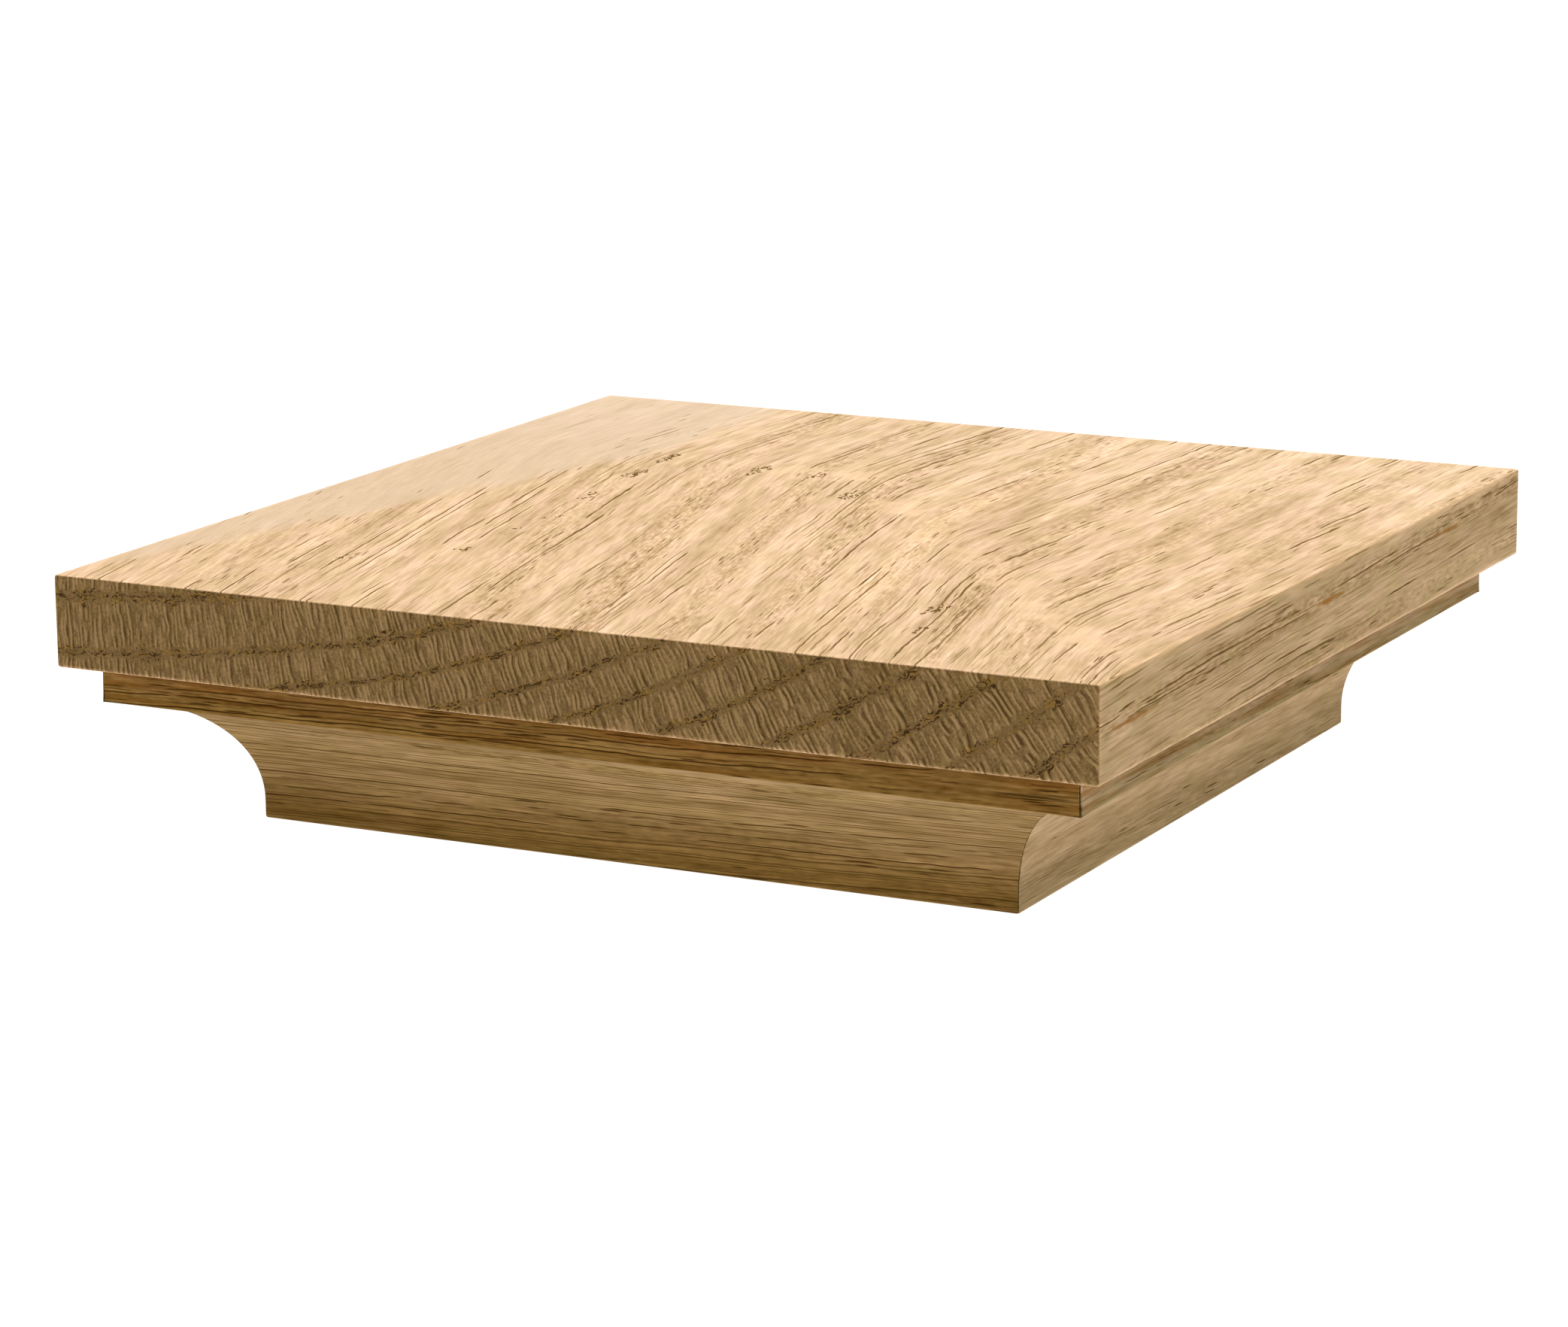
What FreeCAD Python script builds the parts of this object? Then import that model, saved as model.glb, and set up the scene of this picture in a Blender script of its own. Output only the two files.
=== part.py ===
"""Newel post cap: a flat square oak board glued to a mitred frame of cove moulding.

The four strips of moulding leave an open square socket underneath, which slips over the top of a box
newel until the board's underside rests on the post. Millimetres, +Z up, origin at the bottom centre of
the frame. The end grain of the board faces the front, -Y.
"""
import FreeCAD, Part
import math
import os
import Sketcher

# Driving dimensions. Each one can be changed by itself, and the rest follows.
DRIVING_SIZES = {
    "post_width": 158.75,       # side of the square post that goes into the socket, 6 1/4 in
    "post_clearance": 1.5875,   # play between the post and the frame on each side, 1/16 in
    "foot_thickness": 3.96875,  # wall that the moulding keeps at its lower edge, 5/32 in
    "foot_height": 3.96875,     # upright land below the cove, 5/32 in
    "cove_radius": 23.01875,    # hollow of the moulding, 29/32 in
    "fillet_height": 7.9375,    # upright band above the cove, 5/16 in
    "board_overhang": 6.35,     # how far the board stands out over the moulding, 1/4 in
    "board_thickness": 19.05,   # 3/4 in
    "board_easing": 0.6,        # radius sanded on the edges of the board
    "moulding_easing": 0.4,     # radius sanded on the outer edges of the moulding
}

# Sizes that follow from the driving ones.
WORKED_OUT_SIZES = {
    "socket_width": "=post_width + 2 * post_clearance",
    "moulding_thickness": "=foot_thickness + cove_radius",
    "moulding_height": "=foot_height + cove_radius + fillet_height",
    "frame_width": "=socket_width + 2 * moulding_thickness",
    "board_width": "=frame_width + 2 * board_overhang",
}

# The strips, and how far each is turned from the front one.
STRIP_TURNS = {
    "cove_front": 0,
    "cove_right": 90,
    "cove_back": 180,
    "cove_left": 270,
}

# How a sketch numbers the points of a line or an arc, its own origin and its horizontal axis.
START = 1
END = 2
CENTRE = 3
ORIGIN_POINT = (-1, 1)
HORIZONTAL_AXIS = -1

# Two places closer than this are the same place.
TOUCH = 1e-4


def make_sheet(doc):
    """Writes the sizes to a spreadsheet, one row each, with the name of the size as the alias."""
    sheet = doc.addObject("Spreadsheet::Sheet", "sizes")
    row = 1
    for name, value in {**DRIVING_SIZES, **WORKED_OUT_SIZES}.items():
        sheet.set(f"A{row}", name)
        sheet.setAlias(f"B{row}", name)
        sheet.set(f"B{row}", str(value))
        row += 1
    doc.recompute()
    return sheet


def make_body(doc, label):
    """Adds an empty body whose label is the name of the piece."""
    body = doc.addObject("PartDesign::Body", label)
    body.Label = label
    return body


def origin_plane(body, role):
    """Finds one of the body's own origin planes, such as XY_Plane."""
    return next(feature for feature in body.Origin.OriginFeatures if feature.Role == role)


def make_sketch(body, name, role):
    """Adds a sketch on one of the body's origin planes."""
    sketch = body.newObject("Sketcher::SketchObject", name)
    sketch.AttachmentSupport = [(origin_plane(body, role), "")]
    sketch.MapMode = "FlatFace"
    return sketch


def draw_line(sketch, start, end):
    """Adds a line segment between two (x, y) points and returns its index."""
    return sketch.addGeometry(Part.LineSegment(FreeCAD.Vector(*start, 0), FreeCAD.Vector(*end, 0)))


def join_ends(sketch, *pairs):
    """Makes pairs of (geometry, point) ends coincident."""
    for first, second in pairs:
        sketch.addConstraint(Sketcher.Constraint("Coincident", *first, *second))


def hold(sketch, kind, *geometry):
    """Adds a constraint that has no size, such as Horizontal, Vertical or Equal."""
    sketch.addConstraint(Sketcher.Constraint(kind, *geometry))


def dimension(sketch, kind, geometry, value, name, expression):
    """Adds a dimension with a start value and ties it to the sheet."""
    index = sketch.addConstraint(Sketcher.Constraint(kind, *geometry, value))
    sketch.renameConstraint(index, name)
    sketch.setExpression(f"Constraints.{name}", expression)


def make_pad(body, sketch, name, size, symmetric):
    """Pads a sketch by a size of the sheet, either up from its plane or to both sides of it."""
    pad = body.newObject("PartDesign::Pad", name)
    pad.Profile = sketch
    pad.setExpression("Length", f"sizes.{size}")
    pad.SideType = "Symmetric" if symmetric else "One side"
    return pad


def ease_edges(body, base, name, size, chosen):
    """Rounds the edges of a feature that the chosen test accepts, by a size of the sheet."""
    body.Document.recompute()
    edges = [f"Edge{number}" for number, edge in enumerate(base.Shape.Edges, start=1) if chosen(edge)]
    fillet = body.newObject("PartDesign::Fillet", name)
    fillet.Base = (base, edges)
    fillet.setExpression("Radius", f"sizes.{size}")
    return fillet


def make_top_board(doc, sheet):
    """The board: a square of flat-sawn oak, eased on every edge, lying on the frame."""
    body = make_body(doc, "top_board")
    body.setExpression("Placement.Base.z", "sizes.moulding_height")
    half = sheet.board_width / 2
    sketch = make_sketch(body, "board_outline", "XY_Plane")
    corners = [(-half, -half), (half, -half), (half, half), (-half, half)]
    next_corners = corners[1:] + corners[:1]
    front, right, back, left = (draw_line(sketch, *ends) for ends in zip(corners, next_corners))
    join_ends(
        sketch,
        ((front, END), (right, START)),
        ((right, END), (back, START)),
        ((back, END), (left, START)),
        ((left, END), (front, START)),
    )
    for line in (front, back):
        hold(sketch, "Horizontal", line)
    for line in (right, left):
        hold(sketch, "Vertical", line)
    hold(sketch, "Symmetric", front, START, back, START, *ORIGIN_POINT)
    hold(sketch, "Equal", front, right)
    dimension(sketch, "DistanceX", (front, START, front, END), 2 * half, "side", "sizes.board_width")
    slab = make_pad(body, sketch, "board_slab", "board_thickness", symmetric=False)
    ease_edges(body, slab, "eased_edges", "board_easing", lambda edge: True)
    return body


def draw_moulding_profile(body, sheet):
    """The section of the moulding, as it stands below the front edge: foot, cove and fillet.

    The sketch lies across the strip, with its horizontal axis along Y and its vertical axis along Z.
    """
    inner = -sheet.socket_width / 2
    foot = inner - sheet.foot_thickness
    outer = -sheet.frame_width / 2
    cove_start = sheet.foot_height
    cove_end = cove_start + sheet.cove_radius
    top = sheet.moulding_height

    sketch = make_sketch(body, "moulding_profile", "YZ_Plane")
    inner_face = draw_line(sketch, (inner, 0), (inner, top))
    glue_face = draw_line(sketch, (inner, top), (outer, top))
    fillet_face = draw_line(sketch, (outer, top), (outer, cove_end))
    cove_circle = Part.Circle(
        FreeCAD.Vector(outer, cove_start, 0), FreeCAD.Vector(0, 0, 1), sheet.cove_radius
    )
    cove = sketch.addGeometry(Part.ArcOfCircle(cove_circle, 0, math.radians(90)))
    foot_face = draw_line(sketch, (foot, cove_start), (foot, 0))
    lower_edge = draw_line(sketch, (foot, 0), (inner, 0))

    join_ends(
        sketch,
        ((inner_face, END), (glue_face, START)),
        ((glue_face, END), (fillet_face, START)),
        ((fillet_face, END), (cove, END)),
        ((cove, START), (foot_face, START)),
        ((foot_face, END), (lower_edge, START)),
        ((lower_edge, END), (inner_face, START)),
    )
    for line in (inner_face, fillet_face, foot_face):
        hold(sketch, "Vertical", line)
    for line in (glue_face, lower_edge):
        hold(sketch, "Horizontal", line)
    hold(sketch, "Horizontal", cove, CENTRE, cove, START)
    hold(sketch, "Vertical", cove, CENTRE, cove, END)
    hold(sketch, "PointOnObject", inner_face, START, HORIZONTAL_AXIS)
    half_socket = (inner_face, START, *ORIGIN_POINT)
    wall = (lower_edge, START, lower_edge, END)
    land = (foot_face, END, foot_face, START)
    band = (fillet_face, END, fillet_face, START)
    dimension(sketch, "DistanceX", half_socket, -inner, "half_socket", "sizes.socket_width / 2")
    dimension(sketch, "DistanceX", wall, inner - foot, "wall", "sizes.foot_thickness")
    dimension(sketch, "DistanceY", land, cove_start, "land", "sizes.foot_height")
    dimension(sketch, "DistanceY", band, top - cove_end, "band", "sizes.fillet_height")
    dimension(sketch, "Radius", (cove,), sheet.cove_radius, "hollow", "sizes.cove_radius")
    return sketch


def draw_mitre(body, sheet):
    """The waste beyond the mitre at one end: a corner of a square, cut off on its diagonal."""
    reach = sheet.frame_width
    sketch = make_sketch(body, "mitre_outline", "XY_Plane")
    middle = draw_line(sketch, (0, 0), (reach, 0))
    outside = draw_line(sketch, (reach, 0), (reach, -reach))
    mitre = draw_line(sketch, (reach, -reach), (0, 0))
    join_ends(
        sketch,
        ((middle, END), (outside, START)),
        ((outside, END), (mitre, START)),
        ((mitre, END), (middle, START)),
        ((middle, START), ORIGIN_POINT),
    )
    hold(sketch, "Horizontal", middle)
    hold(sketch, "Vertical", outside)
    hold(sketch, "Equal", middle, outside)
    dimension(sketch, "DistanceX", (middle, START, middle, END), reach, "reach", "sizes.frame_width")
    return sketch


def make_cove_strip(doc, sheet, label, turn):
    """One strip: moulded in a straight length, eased on its outer edges and mitred at both ends."""
    body = make_body(doc, label)
    body.Placement = FreeCAD.Placement(FreeCAD.Vector(), FreeCAD.Rotation(FreeCAD.Vector(0, 0, 1), turn))
    profile = draw_moulding_profile(body, sheet)
    length = make_pad(body, profile, "moulded_length", "frame_width", symmetric=True)

    fillet_edge = (-sheet.frame_width / 2, sheet.foot_height + sheet.cove_radius)
    foot_edge = (-sheet.socket_width / 2 - sheet.foot_thickness, 0)

    def is_outer_edge(edge):
        """Tells the lower edge of the fillet and the outer edge of the foot from the rest."""
        middle = edge.CenterOfMass
        return any(
            abs(middle.y - y) < TOUCH and abs(middle.z - z) < TOUCH for y, z in (fillet_edge, foot_edge)
        )

    eased = ease_edges(body, length, "eased_edges", "moulding_easing", is_outer_edge)
    doc.recompute()
    full_volume = eased.Shape.Volume

    mitre = body.newObject("PartDesign::Pocket", "mitre_cut")
    mitre.Profile = draw_mitre(body, sheet)
    mitre.Type = "ThroughAll"
    mitre.Reversed = True
    doc.recompute()
    if not mitre.Shape.Volume < full_volume:
        raise RuntimeError(f"{label}: the mitre removes nothing")

    both_ends = body.newObject("PartDesign::Mirrored", "mitre_at_other_end")
    both_ends.Originals = [mitre]
    both_ends.MirrorPlane = (origin_plane(body, "YZ_Plane"), [""])
    body.Tip = both_ends
    return body


def check_document(doc, pieces):
    """Stops the build if an object failed or a piece has no sound solid."""
    doc.recompute()
    failed = [item.Label for item in doc.Objects if {"Invalid", "Error"} & set(item.State)]
    if failed:
        raise RuntimeError(f"failed objects: {failed}")
    for piece in pieces:
        if piece.Shape.isNull() or not piece.Shape.isValid() or len(piece.Shape.Solids) != 1:
            raise RuntimeError(f"{piece.Label} is not one sound solid")


def main():
    """Builds the cap and writes one STEP file for each piece."""
    doc = FreeCAD.newDocument("newel_post_cap")
    sheet = make_sheet(doc)
    pieces = [make_top_board(doc, sheet)]
    for label, turn in STRIP_TURNS.items():
        pieces.append(make_cove_strip(doc, sheet, label, turn))
    check_document(doc, pieces)

    os.makedirs("parts", exist_ok=True)
    for piece in pieces:
        piece.Shape.exportStep(f"parts/{piece.Label}.step")
        box = piece.Shape.BoundBox
        extents = " x ".join(f"{extent:.2f}" for extent in (box.XLength, box.YLength, box.ZLength))
        print(f"{piece.Label}: {extents} mm, {piece.Shape.Volume:.0f} mm3")


main()
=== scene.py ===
"""Looks of a flat oak newel post cap: a flat-sawn board glued on a mitred frame of cove moulding.

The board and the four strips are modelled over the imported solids, in metres and in the same frame. Their oak
is a solid one: rings, pores and rays run through the wood along each piece's own grain, so that every face
shows the same timber, with end grain on the board's front and back.
"""

from __future__ import annotations

import logging
import math
from dataclasses import dataclass
from enum import Enum
from typing import Sequence, Union

import bmesh
import bpy
from mathutils import Matrix, Vector, noise

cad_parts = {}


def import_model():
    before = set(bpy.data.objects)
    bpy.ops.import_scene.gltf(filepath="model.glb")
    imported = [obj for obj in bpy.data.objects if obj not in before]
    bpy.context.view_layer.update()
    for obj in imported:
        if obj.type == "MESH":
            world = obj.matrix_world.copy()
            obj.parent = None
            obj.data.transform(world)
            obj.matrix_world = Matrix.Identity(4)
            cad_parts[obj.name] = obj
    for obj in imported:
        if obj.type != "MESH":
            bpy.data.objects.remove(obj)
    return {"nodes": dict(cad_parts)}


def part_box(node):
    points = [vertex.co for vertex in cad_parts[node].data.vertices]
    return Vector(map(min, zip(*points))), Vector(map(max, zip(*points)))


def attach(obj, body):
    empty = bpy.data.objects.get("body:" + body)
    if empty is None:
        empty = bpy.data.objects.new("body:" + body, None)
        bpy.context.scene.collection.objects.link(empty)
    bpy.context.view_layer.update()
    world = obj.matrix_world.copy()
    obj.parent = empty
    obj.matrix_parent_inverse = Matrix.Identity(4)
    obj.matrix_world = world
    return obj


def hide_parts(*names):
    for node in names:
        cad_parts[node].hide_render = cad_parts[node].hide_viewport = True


LOG = logging.getLogger("newel_post_cap")

MM = 0.001
BODY = "root"
NODE_PITCH = 190.0
# How many finer layers noise has.
SMOOTH = 1.0
ROUGH = 2.0

BMesh = bmesh.types.BMesh
BMEdge = bmesh.types.BMEdge
Material = bpy.types.Material
Node = bpy.types.Node
Object = bpy.types.Object
Triple = tuple[float, float, float]
Pair = tuple[float, float]
Colour = Triple
Feed = Union[float, Sequence[float], "Field"]
Feeds = Union[dict[str, Feed], Sequence[Feed]]
Fields = dict[str, "Field"]

WHITE: Colour = (1.0, 1.0, 1.0)


class NodeBench:
    """Adds nodes to one shader tree and links them."""

    def __init__(self, tree: bpy.types.NodeTree) -> None:
        """Works on the node tree of one material or group."""
        self.tree = tree

    def add(self, kind: str, feeds: Feeds = (), **settings: object) -> Node:
        """Adds one node to the right of the last.

        Args:
            kind: The node's type name.
            feeds: What its inputs get, by name or in order.
            settings: Properties of the node, set as given.

        Returns:
            The new node.
        """
        node = self.tree.nodes.new(kind)
        node.location = (NODE_PITCH * len(self.tree.nodes), 0.0)
        for name, value in settings.items():
            setattr(node, name, value)
        self.fill(node, feeds)
        return node

    def fill(self, node: Node, feeds: Feeds) -> None:
        """Links a node's inputs to fields, or sets them to plain values.

        Args:
            node: The node.
            feeds: What its inputs get, by name or in order.
        """
        named = feeds if isinstance(feeds, dict) else dict(enumerate(feeds))
        for name, value in named.items():
            socket = node.inputs[name]
            if isinstance(value, Field):
                self.tree.links.new(value.socket, socket)
            else:
                socket.default_value = (*value, 1.0) if socket.type == "RGBA" else value

    def fields(self, node: Node) -> Fields:
        """The outputs of a node by name."""
        return {socket.name: Field(self, socket) for socket in node.outputs}


class Blend(Enum):
    """How one colour goes on another."""

    COVER = "MIX"
    TINT = "MULTIPLY"


@dataclass(frozen=True)
class Ripple:
    """Soft noise: the size of its patches in millimetres, its swing about 0, and its finer layers."""

    cell: Triple
    swing: float = 1.0
    detail: float = SMOOTH


class Field:
    """A value, vector or colour that changes over a surface. Its arithmetic adds nodes."""

    SCALAR_RESULTS = frozenset({"LENGTH", "DOT_PRODUCT"})

    def __init__(self, bench: NodeBench, socket: bpy.types.NodeSocket) -> None:
        """Stands for one output socket on a bench."""
        self.bench = bench
        self.socket = socket

    def __add__(self, other: Feed) -> Field:
        """The sum."""
        return self.math("ADD", other)

    def __sub__(self, other: Feed) -> Field:
        """The difference."""
        return self.math("SUBTRACT", other)

    def __rsub__(self, other: float) -> Field:
        """A number less this."""
        return self.math("MULTIPLY_ADD", -1.0, other)

    def __mul__(self, other: Feed) -> Field:
        """The product."""
        return self.math("MULTIPLY", other)

    def __truediv__(self, other: Feed) -> Field:
        """The quotient."""
        return self.math("DIVIDE", other)

    def __abs__(self) -> Field:
        """The amount without its sign."""
        return self.math("ABSOLUTE")

    def max(self, other: Feed) -> Field:
        """The greater of this and another."""
        return self.math("MAXIMUM", other)

    def min(self, other: Feed) -> Field:
        """The lesser of this and another."""
        return self.math("MINIMUM", other)

    def math(self, operation: str, *others: Feed) -> Field:
        """Adds a Math node, or a Vector Math node where this is a vector or a colour.

        Args:
            operation: The node's operation.
            others: The inputs that follow this field.

        Returns:
            The result.
        """
        if self.socket.type == "VALUE":
            return self.made("ShaderNodeMath", "Value", (self, *others), operation=operation)
        output = "Value" if operation in self.SCALAR_RESULTS else "Vector"
        return self.made("ShaderNodeVectorMath", output, (self, *others), operation=operation)

    def made(self, kind: str, output: str, feeds: Feeds, **settings: object) -> Field:
        """Adds a node, and gives the field of one of its outputs."""
        return self.bench.fields(self.bench.add(kind, feeds, **settings))[output]

    def split(self) -> tuple[Field, ...]:
        """The three parts of a vector or colour."""
        return tuple(self.bench.fields(self.bench.add("ShaderNodeSeparateXYZ", (self,))).values())

    def join(self, y: Feed, z: Feed) -> Field:
        """A vector with this as its first part."""
        return self.made("ShaderNodeCombineXYZ", "Vector", (self, y, z))

    def ease(self, start: Feed, end: Feed) -> Field:
        """A smooth step from 0 at the start to 1 at the end, which may lie above or below it."""
        feeds = {"Value": self, "From Min": start, "From Max": end}
        return self.made("ShaderNodeMapRange", "Result", feeds, interpolation_type="SMOOTHSTEP")

    def spread(self, low: Feed, high: Feed) -> Field:
        """This value, from 0 to 1, spread evenly from a low value to a high one."""
        feeds = {"Value": self, "To Min": low, "To Max": high}
        return self.made("ShaderNodeMapRange", "Result", feeds, clamp=False)

    def sway(self, swing: float) -> Field:
        """This value, from 0 to 1, spread evenly about 0."""
        return self.spread(-swing, swing)

    def noise(self, cell: Triple, detail: float = SMOOTH) -> Field:
        """Soft noise at this place, about 0.5 on average, in patches as large as a cell."""
        feeds = {"Vector": self / cell, "Scale": 1.0, "Detail": detail}
        return self.made("ShaderNodeTexNoise", "Fac", feeds, noise_dimensions="3D")

    def drift(self, cell: Triple) -> Field:
        """Three independent noises at this place, as a colour."""
        feeds = {"Vector": self / cell, "Scale": 1.0, "Detail": SMOOTH}
        return self.made("ShaderNodeTexNoise", "Color", feeds, noise_dimensions="3D")

    def ripple(self, kind: Ripple) -> Field:
        """Soft noise at this place, about 0 on average."""
        return self.noise(kind.cell, kind.detail).sway(kind.swing)

    def lots(self) -> tuple[Field, ...]:
        """Three numbers drawn by lot for each value, from 0 to 1."""
        return self.made("ShaderNodeTexWhiteNoise", "Color", {"W": self}, noise_dimensions="1D").split()

    def gap(self, spot: Triple, size: Triple) -> Field:
        """The distance of this place from a spot, in spot sizes."""
        return ((self - spot) / size).math("LENGTH")

    def marks(self, cell: Triple, share: Feed, edge: float, core: float) -> Field:
        """Scatters small marks, at most one to a cell.

        Args:
            cell: The size of a cell along each axis, in millimetres.
            share: The share of the cells that hold a mark.
            edge: A mark's outer edge, as a share of the cell.
            core: The size of a mark's full-strength core, as a share of the cell.

        Returns:
            The strength of the mark at this place, from 0 to 1.
        """
        feeds = {"Vector": self / cell, "Scale": 1.0}
        node = self.bench.add("ShaderNodeTexVoronoi", feeds, voronoi_dimensions="3D", feature="F1")
        cells = self.bench.fields(node)
        return cells["Color"].split()[0].math("LESS_THAN", share) * cells["Distance"].ease(edge, core)

    def mix(self, below: Feed, above: Feed, blend: Blend = Blend.COVER) -> Field:
        """Puts a share of one colour on another.

        Args:
            below: The colour below.
            above: The colour on top, of which this field is the share.
            blend: How the colour on top goes on.

        Returns:
            The mixed colour.
        """
        way = blend.value
        node = self.bench.add("ShaderNodeMix", data_type="RGBA", blend_type=way, clamp_factor=True)
        feeds = {"Factor_Float": self, "A_Color": below, "B_Color": above}
        place = {socket.identifier: number for number, socket in enumerate(node.inputs)}
        self.bench.fill(node, {place[name]: value for name, value in feeds.items()})
        return Field(self.bench, next(s for s in node.outputs if s.identifier == "Result_Color"))

    def tint(self, colour: Feed, tint: Feed) -> Field:
        """Tints a colour by this share."""
        return self.mix(colour, tint, Blend.TINT)


class SocketKind(Enum):
    """Kinds of socket that a node group offers."""

    VALUE = "NodeSocketFloat"
    VECTOR = "NodeSocketVector"
    COLOUR = "NodeSocketColor"

    def named(self, *names: str) -> dict[str, SocketKind]:
        """Sockets of this kind, by name."""
        return dict.fromkeys(names, self)


class ShaderGroup:
    """A shader node group with named sockets, built once and used by several materials."""

    NAME = ""
    INPUTS: dict[str, SocketKind] = {}
    OUTPUTS: dict[str, SocketKind] = {}

    def __init__(self) -> None:
        """Makes the sockets and wires the nodes between them."""
        self.tree = bpy.data.node_groups.new(self.NAME, "ShaderNodeTree")
        for way, sockets in (("INPUT", self.INPUTS), ("OUTPUT", self.OUTPUTS)):
            for name, kind in sockets.items():
                self.tree.interface.new_socket(name=name, in_out=way, socket_type=kind.value)
        bench = NodeBench(self.tree)
        bench.add("NodeGroupOutput", self.wire(bench.fields(bench.add("NodeGroupInput"))))

    def wire(self, given: Fields) -> Fields:
        """Wires the group, which each kind of group does in its own way."""
        raise NotImplementedError

    def use(self, bench: NodeBench, values: dict[str, Feed]) -> Fields:
        """Puts the group into a tree, with its inputs fed by name, and gives its outputs."""
        return bench.fields(bench.add("ShaderNodeGroup", values, node_tree=self.tree))


class GrowthGroup(ShaderGroup):
    """Where a point lies in the log: seen from the pith, with the fibres' bends taken out.

    Places are in millimetres in the frame of the log, with the grain along Y.
    """

    NAME = "Growth of the log"
    INPUTS = SocketKind.VECTOR.named("Place", "Pith", "Lean") | SocketKind.VALUE.named("Wander", "Seed")
    OUTPUTS = SocketKind.VECTOR.named("Fibre", "Polar", "Seeded")
    FROM_FINISH = ("Pith", "Lean", "Wander", "Seed")

    SLOW_BEND = (60.0, 240.0, 60.0)
    QUICK_BEND = (9.0, 34.0, 9.0)
    FINE_BEND = (2.6, 8.0, 2.6)
    QUICK_SHIFT = (0.6, 0.0, 0.6)
    FINE_SHIFT = (0.3, 0.0, 0.3)
    MIDDLE = (0.5, 0.5, 0.5)

    def wire(self, given: Fields) -> Fields:
        """Works out the point's place from the pith.

        Args:
            given: The group's inputs.

        Returns:
            The fibre place, the polar place of arc, length along the grain and radius, and the place
            moved by the seed.
        """
        place, pith, lean, wander, seed = (given[name] for name in self.INPUTS)
        seeded = place + seed.join(seed, seed)
        bent = place
        for cell, shift in (
            (self.SLOW_BEND, wander.join(0.0, wander)),
            (self.QUICK_BEND, self.QUICK_SHIFT),
            (self.FINE_BEND, self.FINE_SHIFT),
        ):
            bent = (seeded.drift(cell) - self.MIDDLE).math("MULTIPLY_ADD", shift, bent)
        along = place.split()[1]
        heart = lean.math("MULTIPLY_ADD", along.join(along, along), pith)
        across, _, rise = (bent - heart).split()
        radius = across.join(0.0, rise).math("LENGTH")
        arc = across.math("ARCTAN2", rise * -1.0) * pith.math("LENGTH")
        return {"Fibre": across.join(along, rise), "Polar": arc.join(along, radius), "Seeded": seeded}


class StrokeGroup(ShaderGroup):
    """Thin strokes that lie side by side, each with its own breaks, and taper out at their ends."""

    NAME = "Strokes"
    INPUTS = SocketKind.VALUE.named("Across", "Along", "Plenty", "Width")
    OUTPUTS = SocketKind.VALUE.named("Stroke", "Beside")

    LINE_STEP = 3.17
    UNIT = (1.0, 1.0, 1.0)
    PLENTY_SPREAD = (0.74, 0.36)
    TAPER = 0.12
    CORE = 0.45
    JITTER = 0.24
    WEIGHT_POWER = 1.5
    WEIGHT_SPREAD = (0.45, 1.0)

    def wire(self, given: Fields) -> Fields:
        """Draws the strokes.

        Args:
            given: The place across in pitches and along in lengths, the plenty from 0 to 1, and half a
                stroke's width in pitches.

        Returns:
            The strokes, and the strips just beside them, from 0 to 1.
        """
        line = given["Across"].math("ROUND")
        shift, weight, _ = line.lots()
        side = given["Across"] - line + shift.sway(self.JITTER)
        own = line * self.LINE_STEP
        lengths = own.join(given["Along"], own).noise(self.UNIT, 0.0)
        start = given["Plenty"].spread(*self.PLENTY_SPREAD)
        body = lengths.ease(start, start + self.TAPER)
        strength = body * weight.math("POWER", self.WEIGHT_POWER).spread(*self.WEIGHT_SPREAD)
        half = body * given["Width"]
        core = half * self.CORE
        off = given["Width"].math("MULTIPLY_ADD", -2.0, side)
        return {
            "Stroke": abs(side).ease(half, core) * strength,
            "Beside": abs(off).ease(half, core) * strength,
        }


@dataclass(frozen=True)
class Stroke:
    """A kind of stroke: its pitch and length in millimetres, and half its width in pitches."""

    pitch: float
    length: float
    width: float


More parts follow.
